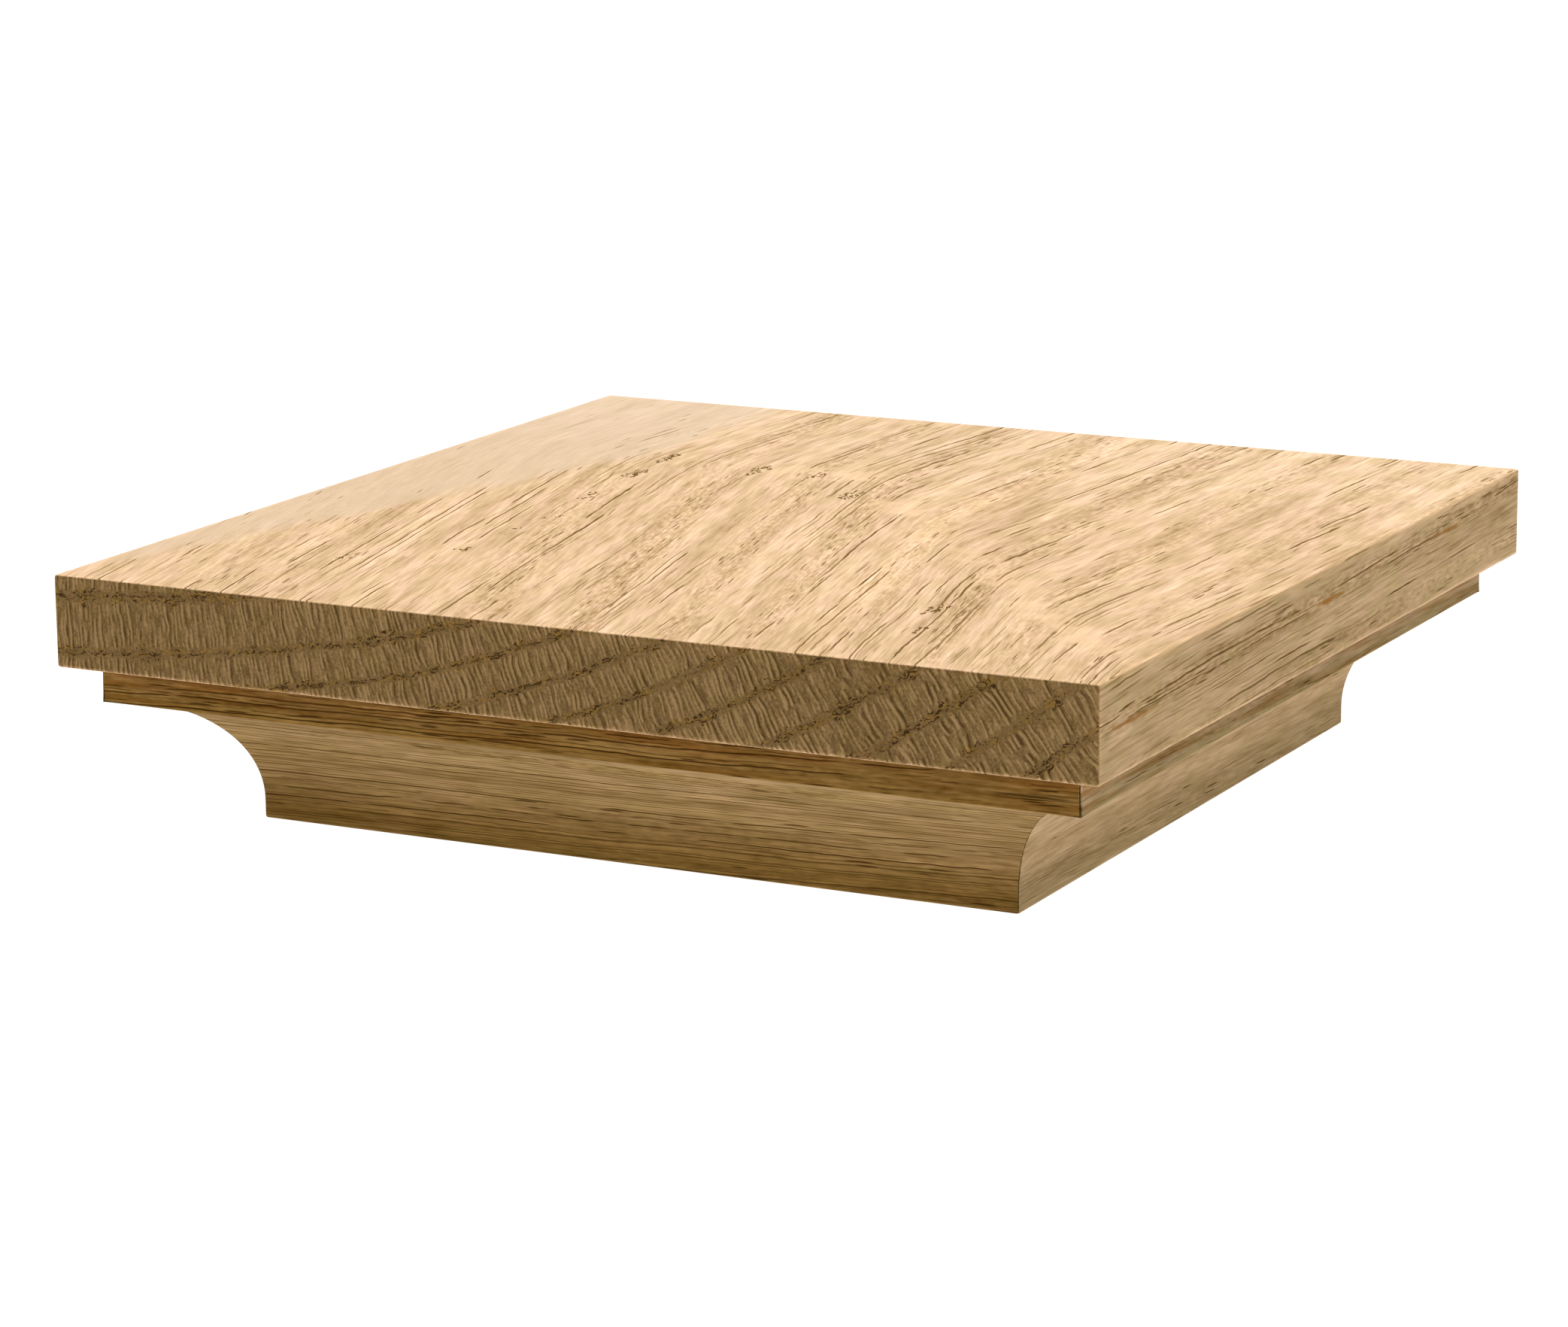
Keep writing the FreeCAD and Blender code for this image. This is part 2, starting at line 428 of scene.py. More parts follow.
class OakGroup(ShaderGroup):
    """The surface of oak at a point of the log: its colour, roughness and height."""

    NAME = "Oak surface"
    FROM_FINISH = (
        "Seed", "Pores", "Dashes", "Reach", "Coarseness", "Latewood", "Earlywood", "Pore",
        "End Grain", "End Row", "End Gap", "End Pore",
    )
    INPUTS = (
        SocketKind.VECTOR.named("Fibre", "Polar", "Seeded", "Facing")
        | SocketKind.VALUE.named("Years", "Clusters", "Calm", *FROM_FINISH[:5])
        | SocketKind.COLOUR.named(*FROM_FINISH[5:])
    )
    OUTPUTS = SocketKind.COLOUR.named("Color") | SocketKind.VALUE.named("Roughness", "Height")

    DARKER: Colour = (0.37, 0.3, 0.1)
    LIGHTER: Colour = (1.63, 1.7, 1.9)
    OLIVE: Colour = (0.955, 0.955, 0.9)
    PEACH: Colour = (1.045, 1.02, 1.06)
    SHADE_REACH = 1.4
    LINES = Stroke(1.7, 15.0, 0.095)
    HAIRS = Stroke(0.75, 8.0, 0.14)
    PITS = Stroke(0.9, 2.4, 0.3)
    CHAINS = Stroke(0.8, 1.4, 0.26)
    COMB = Stroke(1.3, 3.4, 0.27)
    COMB_PLENTY = 1.05
    SLANT = (0.6, 0.0, 0.8)
    # Sizes in millimetres across, along and across the grain.
    WAVER = Ripple((10.0, 60.0, 10.0), 0.9)
    CRINKLE = Ripple((1.2, 4.5, 1.2), 0.14)
    PIT_BEND = Ripple((0.9, 2.4, 0.9), 1.0)
    SPECKLE = Ripple((0.7, 2.8, 0.7), 0.7)
    MOTTLE = Ripple((1.3, 9.0, 1.3), 0.26, ROUGH)
    STREAK = Ripple((3.4, 90.0, 3.4), 0.38, ROUGH)
    GRIT = Ripple((0.55, 3.0, 0.55), 0.8, ROUGH)
    VESSEL = (0.48, 10.0, 0.48)
    BUNDLE = (6.0, 110.0, 6.0)
    FIBRE = (0.45, 14.0, 0.45)
    TONE = (24.0, 160.0, 24.0)
    BLUSH = (4.0, 14.0, 4.0)
    # Sizes in millimetres along the ring, along the grain and out from the pith.
    CHAIN_BEND = Ripple((1.2, 40.0, 1.0), 1.2, ROUGH)
    COMB_BEND = Ripple((5.0, 40.0, 7.0), 1.3)
    COMB_FRAY = Ripple((0.8, 30.0, 3.4), 1.0)
    CHAIN_GAP = (6.0, 40.0, 2.4)
    DOT = (0.7, 11.0, 0.45)
    OCHRE = (2.2, 20.0, 0.8)
    # Steps: where they are still 0, and where they have come to 1.
    END_STEP = (0.45, 0.85)
    BLUSH_STEP = (0.36, 0.64)
    EARLY_STEP = (0.32, 0.05)
    TONE_STEP = (0.2, 0.6)
    CORE_STEP = (0.2, 0.95)
    PIT_STEP = (0.0, 0.6)
    ROW_STEP = (0.2, 0.02)
    CHAIN_STEP = (0.05, 0.6)
    OCHRE_STEP = (0.48, 0.66)
    COMB_STEP = (0.05, 0.17)
    VESSEL_STEP = (0.42, 0.2)
    DOT_STEP = (0.4, 0.18)
    # Spreads: what 0 and 1 become.
    MOOD_SPREAD = (0.3, 1.0)
    BUNDLE_SPREAD = (-0.8, 2.6)
    CROWD_SPREAD = (-0.5, 1.5)
    GAP_SPREAD = (0.29, -0.25)
    ROW_SPREAD = (-0.5, 0.95)
    # Swings of the shade, the roughness and the height about their middles.
    FINE_SHADE = 0.42
    TONE_SHADE = 0.1
    END_TONE_SHADE = 0.2
    FINE_ROUGHNESS = 0.1
    FINE_HEIGHT = 0.3
    # Shares, gains and depths of the marks.
    ROUGHNESS = 0.6
    END_ROUGHNESS = 0.2
    CHAIN_DEPTH = -1.5
    EARLY_SHARE = 0.7
    VESSEL_SHARE = 0.5
    VESSEL_STRENGTH = 0.8
    PALE_GAIN = 0.16
    EDGE_SHADE = -0.6
    HAIR_STRENGTH = 0.65
    DOT_SHARE = 0.3
    COMB_GAIN = 0.85
    GAP_SHARE = 0.28
    OCHRE_SHARE = 0.7

    def __init__(self, strokes: StrokeGroup) -> None:
        """Keeps the group that draws strokes, and makes this one."""
        self.strokes = strokes
        super().__init__()

    def wire(self, given: Fields) -> Fields:
        """Works out the surface.

        Args:
            given: The group's inputs.

        Returns:
            The group's outputs.
        """
        year = given["Years"].math("ROUND")
        from_row = abs(given["Years"] - year)
        mood = (year + given["Seed"]).lots()[0]
        tone = given["Seeded"].noise(self.TONE)
        fine = given["Fibre"].noise(self.FIBRE, ROUGH)
        end = abs(given["Facing"].split()[1]).ease(*self.END_STEP)
        long_grain, vessels = self.long_grain(given, from_row, mood, tone, fine)
        end_grain, chains, comb = self.end_grain(given, from_row, tone)
        wood = end.mix(long_grain, end_grain)
        blush = given["Seeded"].noise(self.BLUSH, ROUGH).ease(*self.BLUSH_STEP)
        colour = (1.0 - given["Calm"]).tint(wood, blush.mix(self.OLIVE, self.PEACH))
        cuts = end.spread(vessels * -1.0, comb + chains * self.CHAIN_DEPTH)
        return {
            "Color": colour,
            "Roughness": end * self.END_ROUGHNESS + self.ROUGHNESS + fine.sway(self.FINE_ROUGHNESS),
            "Height": cuts + fine.sway(self.FINE_HEIGHT),
        }

    def long_grain(
        self, given: Fields, from_row: Field, mood: Field, tone: Field, fine: Field
    ) -> tuple[Field, Field]:
        """The wood cut along the grain: bands of rings, streaks, open vessels and dashes of rays.

        Args:
            given: The group's inputs.
            from_row: How far from the row of vessels the year is, up to 0.5.
            mood: A lot that differs from year to year.
            tone: Broad light and dark.
            fine: The fibres.

        Returns:
            The colour, and the depth of the vessels from 0 to 1.
        """
        fibre = given["Fibre"]
        lively = 1.0 - given["Calm"]
        early = from_row.ease(*self.EARLY_STEP) * mood.spread(*self.MOOD_SPREAD)
        early = early * tone.ease(*self.TONE_STEP)
        shade = fine.sway(self.FINE_SHADE) + fibre.ripple(self.MOTTLE) + fibre.ripple(self.STREAK)
        shade = shade + tone.sway(self.TONE_SHADE) + fibre.ripple(self.SPECKLE) * early
        colour = (early * lively * self.EARLY_SHARE).mix(given["Latewood"], given["Earlywood"])
        colour = self.shaded(colour, shade * lively)
        rich = early * given["Pores"] * lively
        vessels = fibre.marks(self.VESSEL, rich * self.VESSEL_SHARE, *self.VESSEL_STEP)
        dark, pale = self.rays(given, lively)
        colour = colour * pale.math("MULTIPLY_ADD", self.PALE_GAIN, 1.0)
        colour = self.sunk(colour, (vessels * self.VESSEL_STRENGTH).max(dark), given["Pore"])
        return self.sunk(colour, self.pits(given), given["Pore"]), vessels

    def shaded(self, colour: Field, shade: Field) -> Field:
        """A colour that is darker and browner for a shade of -0.7, and lighter for one of 0.7."""
        share = shade.math("MULTIPLY_ADD", 1 / self.SHADE_REACH, 0.5)
        return colour * share.mix(self.DARKER, self.LIGHTER)

    def sunk(self, colour: Field, mark: Field, core: Field) -> Field:
        """A colour with a mark sunk into it: brown at its soft edge, and its own colour in the core."""
        brown = self.shaded(colour, mark * self.EDGE_SHADE)
        return mark.ease(*self.CORE_STEP).mix(brown, core)

    def rays(self, given: Fields, lively: Field) -> tuple[Field, Field]:
        """Long thin lines and short dashes along the grain, in bundles.

        Args:
            given: The group's inputs.
            lively: How lively the figure is, from 0 to 1.

        Returns:
            The dark lines and the pale lines beside them, from 0 to 1.
        """
        fibre = given["Fibre"]
        plenty = given["Dashes"] * fibre.noise(self.BUNDLE).spread(*self.BUNDLE_SPREAD) * lively
        along = fibre.split()[1] / given["Reach"]
        level = fibre.math("DOT_PRODUCT", self.SLANT) + fibre.ripple(self.WAVER) + fibre.ripple(self.CRINKLE)
        level = level / given["Coarseness"]
        lines = self.draw(level, along, self.LINES, plenty)
        hairs = self.draw(level, along, self.HAIRS, plenty)
        return lines["Stroke"].max(hairs["Stroke"] * self.HAIR_STRENGTH), lines["Beside"]

    def pits(self, given: Fields) -> Field:
        """Short crooked pits, where vessels crowd together.

        Args:
            given: The group's inputs.

        Returns:
            The pits, from 0 to 1.
        """
        fibre = given["Fibre"]
        level = fibre.math("DOT_PRODUCT", self.SLANT) + fibre.ripple(self.PIT_BEND)
        plenty = given["Clusters"].spread(*self.CROWD_SPREAD)
        return self.draw(level, fibre.split()[1], self.PITS, plenty)["Stroke"].ease(*self.PIT_STEP)

    def draw(self, across: Field, along: Field, kind: Stroke, plenty: Feed) -> Fields:
        """Strokes of one kind and the strips beside them, at a place across and along in millimetres."""
        place = {"Across": across / kind.pitch, "Along": along / kind.length}
        return self.strokes.use(across.bench, {**place, "Plenty": plenty, "Width": kind.width})

    def end_grain(self, given: Fields, from_row: Field, tone: Field) -> tuple[Field, Field, Field]:
        """The wood cut across: chains of vessels on each ring, and a comb of rays between them.

        Args:
            given: The group's inputs.
            from_row: How far from the row of vessels the year is, up to 0.5.
            tone: Broad light and dark.

        Returns:
            The colour, the depth of the vessels from 0 to 1, and the strokes of the comb.
        """
        polar = given["Polar"]
        arc, _, radius = polar.split()
        comb = self.comb(polar, from_row)
        gap = polar.noise(self.CHAIN_GAP, ROUGH).spread(*self.GAP_SPREAD)
        early = (from_row + gap).ease(*self.ROW_STEP)
        level = radius + polar.ripple(self.CHAIN_BEND)
        rows = self.draw(level, arc, self.CHAINS, early.spread(*self.ROW_SPREAD))["Stroke"]
        dots = polar.marks(self.DOT, early * self.DOT_SHARE, *self.DOT_STEP)
        chains = rows.ease(*self.CHAIN_STEP).max(dots)
        shade = comb.max(0.0) * self.COMB_GAIN + tone.sway(self.END_TONE_SHADE)
        shade = shade + given["Seeded"].ripple(self.GRIT)
        ochre = early * polar.noise(self.OCHRE).ease(*self.OCHRE_STEP) * self.OCHRE_SHARE
        colour = (early * self.GAP_SHARE).mix(given["End Grain"], given["End Gap"])
        colour = self.shaded(ochre.mix(colour, given["End Row"]), shade)
        colour = (comb * -1.0).mix(colour, given["End Gap"])
        return self.sunk(colour, chains, given["End Pore"]), chains, comb

    def comb(self, polar: Field, from_row: Field) -> Field:
        """The rays seen on end grain: a comb of strokes square to the rings, in the summer wood.

        Args:
            polar: The polar place.
            from_row: How far from the row of vessels the year is, up to 0.5.

        Returns:
            Light and dark strokes, from about -1 to 1.
        """
        arc, _, radius = polar.split()
        drawn = self.draw(arc + polar.ripple(self.COMB_BEND), radius, self.COMB, self.COMB_PLENTY)
        strokes = drawn["Stroke"] - drawn["Beside"] + polar.ripple(self.COMB_FRAY)
        return strokes * from_row.ease(*self.COMB_STEP)


@dataclass(frozen=True)
class OakGroups:
    """The shader groups that every piece of oak uses."""

    growth: GrowthGroup
    oak: OakGroup


@dataclass(frozen=True)
class Spot:
    """A point on a piece: its place in millimetres in the frame of the log, and the way that it faces."""

    place: Field
    facing: Field


def new_material(name: str) -> tuple[Material, NodeBench, Node]:
    """Makes a material with nodes.

    Args:
        name: The material's name.

    Returns:
        The material, a bench for its nodes, and its shader.
    """
    material = bpy.data.materials.new(name)
    material.use_nodes = True
    return material, NodeBench(material.node_tree), material.node_tree.nodes["Principled BSDF"]


@dataclass(frozen=True)
class OakFinish:
    """One piece of oak: where it grew in its log, and its colours.

    Lengths are in millimetres in the frame of the log, with the grain along Y.
    """

    name: str
    pith: Triple
    lean: Triple
    seed: float
    latewood: Colour
    earlywood: Colour
    pore: Colour
    wander: float = 4.0
    pores: float = 0.7
    dashes: float = 0.55
    reach: float = 1.0
    coarseness: float = 0.6
    end_grain: Colour = (0.268, 0.165, 0.0625)
    end_row: Colour = (0.34, 0.19, 0.042)
    end_gap: Colour = (0.12, 0.066, 0.022)
    end_pore: Colour = (0.074, 0.039, 0.012)
    bump_strength: float = 0.5
    bump_depth: float = 0.15 * MM

    def material(self, groups: OakGroups) -> Material:
        """Makes the material.

        Args:
            groups: The shared groups of the log and its surface.

        Returns:
            A material that reads Object coordinates, turned so that the grain runs along Y.
        """
        material, bench, shader = new_material(self.name)
        spot = self.spot(bench)
        figured = self.figured_place(spot)
        grown = groups.growth.use(bench, {"Place": figured, **self.own(GrowthGroup.FROM_FINISH)})
        places = {
            "Facing": spot.facing,
            "Years": self.years(grown["Polar"].split()[2]),
            "Clusters": self.clusters(spot),
            "Calm": self.calm(spot),
        }
        wood = groups.oak.use(bench, {**grown, **places, **self.own(OakGroup.FROM_FINISH)})
        relief = {"Strength": self.bump_strength, "Distance": self.bump_depth, "Height": wood["Height"]}
        surface = {
            "Base Color": self.dress(spot, figured, wood["Color"]),
            "Roughness": wood["Roughness"],
            "Normal": bench.fields(bench.add("ShaderNodeBump", relief))["Normal"],
            "Specular IOR Level": 0.0,
        }
        bench.fill(shader, surface)
        return material

    def own(self, names: Sequence[str]) -> dict[str, Feed]:
        """What this finish gives for a group's inputs, by name."""
        return {name: getattr(self, name.lower().replace(" ", "_")) for name in names}

    def turn(self) -> float:
        """How far the log is turned about Z from the part's frame, in radians."""
        return 0.0

    def spot(self, bench: NodeBench) -> Spot:
        """Turns the point and the surface's facing into the frame of the log.

        Args:
            bench: Adds nodes to the material.

        Returns:
            The point in millimetres, and the unit vector that the surface faces along.
        """
        given = bench.fields(bench.add("ShaderNodeTexCoord"))
        turned = (0.0, 0.0, self.turn())
        feeds = {"Vector": given["Object"], "Rotation": turned, "Scale": (1.0 / MM, 1.0 / MM, 1.0 / MM)}
        place = bench.add("ShaderNodeMapping", feeds, vector_type="POINT")
        feeds = {"Vector": given["Normal"], "Rotation": turned}
        facing = bench.add("ShaderNodeMapping", feeds, vector_type="VECTOR")
        return Spot(bench.fields(place)["Vector"], bench.fields(facing)["Vector"])

    def figured_place(self, spot: Spot) -> Field:
        """The place whose figure a point shows, here its own."""
        return spot.place

    def years(self, radius: Field) -> Field:
        """The year in which the wood at a radius grew, which each piece has of its own."""
        raise NotImplementedError

    def calm(self, spot: Spot) -> Feed:
        """How calm the figure is at a point, up to 1, here lively all over."""
        return 0.0

    def clusters(self, spot: Spot) -> Feed:
        """Extra crowds of vessels, here none."""
        return 0.0

    def dress(self, spot: Spot, figured: Field, colour: Field) -> Field:
        """The last changes to the colour, here none."""
        return colour


@dataclass(frozen=True)
class BoardFinish(OakFinish):
    """The flat-sawn board, with the grain that sweeps aside on its top and the marks of its faces."""

    half_width: float = 114.3
    top_height: float = 53.975
    thickness: float = 19.05
    ring_radii: tuple[float, ...] = (
        290.0, 302.6, 314.1, 321.8, 329.6, 337.2, 345.5, 355.0, 364.5, 373.9, 382.6, 392.0
    )
    sweep: float = 0.25
    bend_back: float = 48.0
    bend_from: float = -12.0
    bend_slope: float = 1.17
    bend_softness: float = 18.0
    top_step: Pair = (0.5, 0.9)
    right_step: Pair = (0.6, 0.9)
    crest_patch: Triple = (12.0, 12.0, 12.0)
    crest_step: Pair = (12.0, 1.0)
    crest_across: Pair = (-55.0, -15.0)
    crest_share: Pair = (0.4, 0.6)
    crest_sway: float = 22.0
    crest_calm: float = 0.5
    # Painted glint along the crest of the bend.
    crest_glint_gain: float = 0.14
    pale_edge: float = -67.0
    pale_lean: float = 0.29
    pale_fray: Ripple = Ripple((9.0, 40.0, 9.0), 9.0, ROUGH)
    pale_step: Pair = (3.0, -6.0)
    pale_calm: float = 0.65
    pale_tint: Colour = (0.97, 1.03, 1.14)
    streak_at: float = 54.0
    streak_step: Pair = (5.0, 1.0)
    streak_gain: float = 0.08
    fleck_spots: tuple[Pair, ...] = ((-98.5, 44.4), (0.0, 47.2), (68.8, 48.6))
    fleck_size: Pair = (10.0, 0.55)
    fleck_fray: Ripple = Ripple((0.5, 5.0, 0.5), 1.3, ROUGH)
    fleck_step: Pair = (1.2, 0.3)
    fleck_share: float = 0.9
    fleck_colour: Colour = (0.46, 0.2, 0.05)
    # Painted shade: the board's right side is made darker and yellower.
    right_side_painted_shade: Colour = (0.86, 0.86, 0.76)
    arris_step: Pair = (2.2, 0.4)
    arris_share: float = 0.35
    arris_tint: Colour = (1.3, 1.24, 1.2)
    # Painted highlight on the downward-facing faces of the board's lower arris.
    under_step: Pair = (0.9, 0.4)
    under_facing: Pair = (-0.95, -0.6)
    under_share: float = 0.8
    lower_arris_painted_highlight: Colour = (1.35, 1.4, 1.65)
    back_tint: Colour = (1.06, 1.09, 1.13)
    back_step: Pair = (0.0, 110.0)
    # Across, along and how crowded.
    cluster_spots: tuple[Triple, ...] = (
        (-62.0, 48.0, 1.0), (-59.7, 29.0, 1.0), (-57.0, 3.0, 0.65), (-53.0, -22.0, 0.6),
        (-53.0, -38.0, 0.55), (-52.5, -59.0, 0.45), (-37.0, 43.0, 0.9), (-22.0, 44.0, 0.8),
        (-5.5, 26.5, 0.9), (-70.0, -74.5, 0.7), (60.3, -69.0, 1.0), (64.6, -88.0, 0.7),
    )
    cluster_size: Triple = (3.6, 10.0, 1.0)
    cluster_step: Pair = (1.0, 0.2)

    def figured_place(self, spot: Spot) -> Field:
        """Sweeps the grain of the top face aside in front of the bend.

        Args:
            spot: The point.

        Returns:
            The place on the front edge's row of rings that the point's grain line comes from.
        """
        x, y, _ = spot.place.split()
        reach = y.math("SMOOTH_MIN", self.bend_line(x), self.bend_softness)
        shift = (reach + self.half_width).max(0.0) * self.sweep * self.on_top(spot)
        return spot.place + shift.join(0.0, 0.0)

    def bend_line(self, x: Field) -> Field:
        """How far behind the middle the grain bends, at a distance across the board."""
        return (x - self.bend_from).max(0.0).math("MULTIPLY_ADD", -self.bend_slope, self.bend_back)

    def on_top(self, spot: Spot) -> Field:
        """Whether the surface is the top, from 0 to 1."""
        return spot.facing.split()[2].ease(*self.top_step)

    def pale_zone(self, spot: Spot) -> Field:
        """The smooth pale zone at the left of the top, where the saw ran along one ring.

        Args:
            spot: The point.

        Returns:
            How pale the point is, from 0 to 1.
        """
        x, y, _ = spot.place.split()
        edge = (y - self.bend_back).min(0.0).math("MULTIPLY_ADD", self.pale_lean, self.pale_edge)
        beyond = x - edge + spot.place.ripple(self.pale_fray)
        return beyond.ease(*self.pale_step) * self.on_top(spot)

    def years(self, radius: Field) -> Field:
        """Reads the year off the board's own rings.

        Args:
            radius: The distance from the pith.

        Returns:
            The year, a whole number on each row of vessels.
        """
        first, last = self.ring_radii[0], self.ring_radii[-1]
        count = len(self.ring_radii) - 1
        node = radius.bench.add("ShaderNodeFloatCurve", {"Value": (radius - first) / (last - first)})
        curve = node.mapping.curves[0]
        for number, size in enumerate(self.ring_radii[1:-1], start=1):
            curve.points.new((size - first) / (last - first), number / count)
        node.mapping.update()
        return radius.bench.fields(node)["Value"] * float(count)

    def calm(self, spot: Spot) -> Feed:
        """How calm the figure is: calm in the pale zone, and a little along the bend."""
        return (self.pale_zone(spot) * self.pale_calm).max(self.crest(spot) * self.crest_calm)

    def crest(self, spot: Spot) -> Field:
        """The crest where the grain of the top bends, which calms the figure and takes a painted glint.

        Args:
            spot: The point.

        Returns:
            How near the point is to the crest, from 0 to 1.
        """
        x, y, _ = spot.place.split()
        ragged = spot.place.noise(self.crest_patch, ROUGH)
        off = y - self.bend_line(x) + ragged.sway(self.crest_sway)
        near = abs(off).ease(*self.crest_step) * x.ease(*self.crest_across)
        return near * ragged.ease(*self.crest_share) * self.on_top(spot)

    def clusters(self, spot: Spot) -> Feed:
        """Crowds vessels on a few spots of the top, along the bend.

        Args:
            spot: The point.

        Returns:
            The extra crowd at the point, from 0 to 1.
        """
        crowd: Feed = 0.0
        for x, y, plenty in self.cluster_spots:
            gap = spot.place.gap((x, y, self.top_height), self.cluster_size)
            crowd = (gap.ease(*self.cluster_step) * plenty).max(crowd)
        return crowd * self.on_top(spot)

    def dress(self, spot: Spot, figured: Field, colour: Field) -> Field:
        """Adds the top's pale zone, bright streak and painted glint, the right side's flecks and painted
        shade, the paler eased edges, and a painted highlight on the lower arris.

        Args:
            spot: The point.
            figured: The place whose figure the point shows.
            colour: The oak's colour.

        Returns:
            The finished colour.
        """
        _, y, z = spot.place.split()
        aside, _, upward = spot.facing.split()
        top = self.on_top(spot)
        colour = self.pale_zone(spot).tint(colour, self.pale_tint)
        streak = abs(figured.split()[0] - self.streak_at).ease(*self.streak_step) * top
        # The bright streak is the wood's own; the brightening along the crest is a painted glint.
        colour = colour * (streak * self.streak_gain + self.crest(spot) * self.crest_glint_gain + 1.0)
        colour = (y.ease(*self.back_step) * top).tint(colour, self.back_tint)
        right = aside.ease(*self.right_step)
        for along, high in self.fleck_spots:
            gap = spot.place.gap((self.half_width, along, high), (1.0, *self.fleck_size))
            fleck = (gap + spot.place.ripple(self.fleck_fray)).ease(*self.fleck_step) * right
            colour = (fleck * self.fleck_share).mix(colour, self.fleck_colour)
        # Painted shade on the board's right side.
        colour = right.tint(colour, self.right_side_painted_shade)
        # Painted highlight on the lower arris.
        rise = z - (self.top_height - self.thickness)
        under = rise.ease(*self.under_step) * upward.ease(*self.under_facing) * self.under_share
        colour = under.tint(colour, self.lower_arris_painted_highlight)
        return (self.arris(spot) * self.arris_share).tint(colour, self.arris_tint)

    def arris(self, spot: Spot) -> Field:
        """How close the point is to one of the board's sanded edges.

        Args:
            spot: The point.

        Returns:
            1 on an edge, and 0 from two millimetres away.
        """
        x, y, z = spot.place.split()
        side = self.half_width - abs(x)
        front = self.half_width - abs(y)
        level = self.thickness / 2 - abs(z - (self.top_height - self.thickness / 2))
        second = side.min(front).max(side.max(front).min(level))
        return second.ease(*self.arris_step)


class StripSide(Enum):
    """The sides of the frame: the strip's node, and how far it is turned from the front one, in degrees."""

    FRONT = ("cove_front", 0.0)
    RIGHT = ("cove_right", 90.0)
    BACK = ("cove_back", 180.0)
    LEFT = ("cove_left", 270.0)

    def __init__(self, node: str, degrees: float) -> None:
        """Keeps the strip's node and its turn."""
        self.node = node
        self.turn = math.radians(degrees)


@dataclass(frozen=True)
class StripFinish(OakFinish):
    """One strip of moulding, with its grain along the strip and its outer side along X."""

    side: StripSide = StripSide.FRONT
    calmness: float = 0.0
    ring_width: float = 7.5
    first_ring: float = 0.0
    fillet_place: float = 26.9875
    fillet_depth: float = 107.95
    # Steps in millimetres above the fillet's lower edge.
    fillet_step: Pair = (-0.2, 0.4)
    fillet_rise: Pair = (0.0, 5.5125)
    rim_step: Pair = (-2.6, -0.4)
    crown_step: Pair = (-12.9875, -2.0)
    foot_step: Pair = (-14.9875, -24.9875)
    # The fillet is darker toward its lower edge, partly a darker band of the wood and partly painted shade;
    # toward the board it gets painted light that takes out the shadow of the board's overhang.
    fillet_painted_shade: Colour = (0.8, 0.78, 0.7)
    fillet_top_painted_light: Colour = (1.06, 1.1, 1.1)
    streak_patch: Triple = (1.3, 44.0, 1.3)
    streak_step: Pair = (0.46, 0.62)
    streak_share: float = 0.9
    streak_tint: Colour = (0.78, 0.66, 0.48)
    # Painted light on the cove's top just under the fillet, where it faces down to the floor.
    rim_painted_light: Colour = (1.18, 1.2, 1.34)
    # Painted light on the cove's upper part, where it faces down to the floor.
    crown_painted_light: Colour = WHITE
    foot_tint: Colour = WHITE
    # Middle along the strip, length and level.
    splits: tuple[Triple, ...] = ()
    split_height: float = 0.3
    split_step: Pair = (1.0, 0.4)
    split_share: float = 0.9

    def turn(self) -> float:
        """How far the log is turned about Z from the part's frame, in radians."""
        return math.radians(90) - self.side.turn

    def years(self, radius: Field) -> Field:
        """The year of even rings, a whole number on each row of vessels."""
        return (radius - self.first_ring) / self.ring_width

    def calm(self, spot: Spot) -> Feed:
        """How calm the figure is, the same all over, and less than 0 for a lively strip."""
        return self.calmness

    def dress(self, spot: Spot, figured: Field, colour: Field) -> Field:
        """Tints the foot, paints shade and light on the fillet and light on the cove's crown and rim, streaks
        the fillet, and opens its longest checks.

        Args:
            spot: The point.
            figured: The place whose figure the point shows; not used.
            colour: The oak's colour.

        Returns:
            The finished colour.
        """
        rise = spot.place.split()[2] - self.fillet_place
        above = rise.ease(*self.fillet_step)
        lower = 1.0 - above
        # Painted shade on the fillet, darkest at its lower edge, fading into painted light toward the board.
        fillet_painted_shade = rise.ease(*self.fillet_rise).mix(self.fillet_painted_shade, self.fillet_top_painted_light)
        streak = spot.place.noise(self.streak_patch, ROUGH).ease(*self.streak_step) * above
        for share, tint in (
            (above, fillet_painted_shade),
            # Painted light on the cove's crown.
            (rise.ease(*self.crown_step) * lower, self.crown_painted_light),
            # Painted light on the cove's rim.
            (rise.ease(*self.rim_step) * lower, self.rim_painted_light),
            (rise.ease(*self.foot_step), self.foot_tint),
            (streak * self.streak_share, self.streak_tint),
        ):
            colour = share.tint(colour, tint)
        for along, length, level in self.splits:
            gap = spot.place.gap((self.fillet_depth, along, level), (1.0, length / 2, self.split_height))
            colour = (gap.ease(*self.split_step) * self.split_share).mix(colour, self.pore)
        return colour


def placed(name: str, data: bpy.types.ID) -> Object:
    """Puts a new object into the scene, at the origin.

    Args:
        name: The object's name.
        data: Its mesh, lamp or lens.

    Returns:
        The new object.
    """
    thing = bpy.data.objects.new(name, data)
    bpy.context.scene.collection.objects.link(thing)
    return thing


